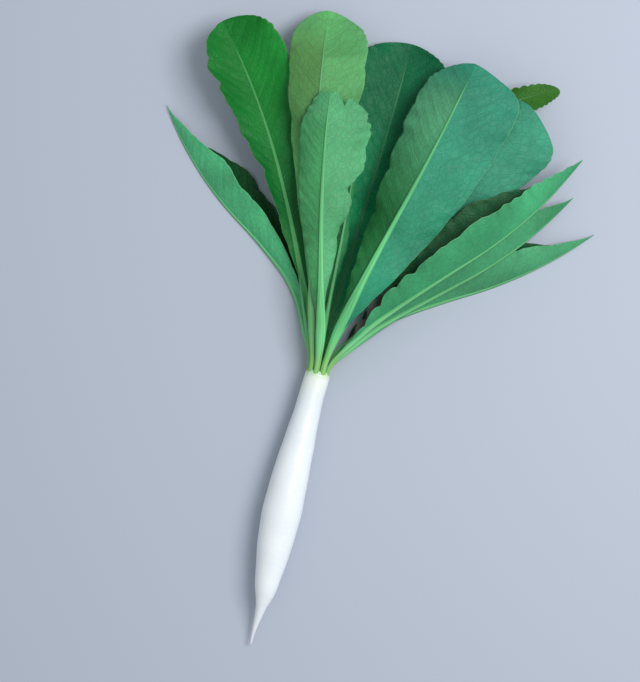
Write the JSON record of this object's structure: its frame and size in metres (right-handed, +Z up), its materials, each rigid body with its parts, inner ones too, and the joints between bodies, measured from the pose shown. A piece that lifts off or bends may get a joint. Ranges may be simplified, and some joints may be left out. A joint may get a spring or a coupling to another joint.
{
  "type": "daikon radish",
  "caption": "Slim white daikon radish lying on its side, with a long tapered root and a fanned head of broad green leaves.",
  "frame": {"origin": "middle of the small flat spot under the root's belly, on the surface the radish lies on", "axes": "+Y along the root from tail to leaves, +Z up, +X to the right of the root seen from above"},
  "size_m": [0.4184, 0.5909, 0.0671],
  "materials": {
    "root_skin": "smooth moist skin",
    "leaf_upper_side": "soft satin leaf, upper side showing",
    "leaf_underside": "soft satin leaf, underside showing"
  },
  "bodies": {
    "root": {"taproot": "root_skin", "leaf_back_middle": "leaf_upper_side", "leaf_right_low": "leaf_underside", "leaf_right_middle": "leaf_underside", "leaf_left_low": "leaf_underside", "leaf_left_dark": "leaf_upper_side", "leaf_right_upper": "leaf_underside", "leaf_tip_right": "leaf_upper_side", "leaf_right_broad": "leaf_underside", "leaf_heart": "leaf_underside", "leaf_back_left": "leaf_underside", "leaf_front_right": "leaf_underside", "leaf_front_middle": "leaf_underside"}
  },
  "joints": []
}
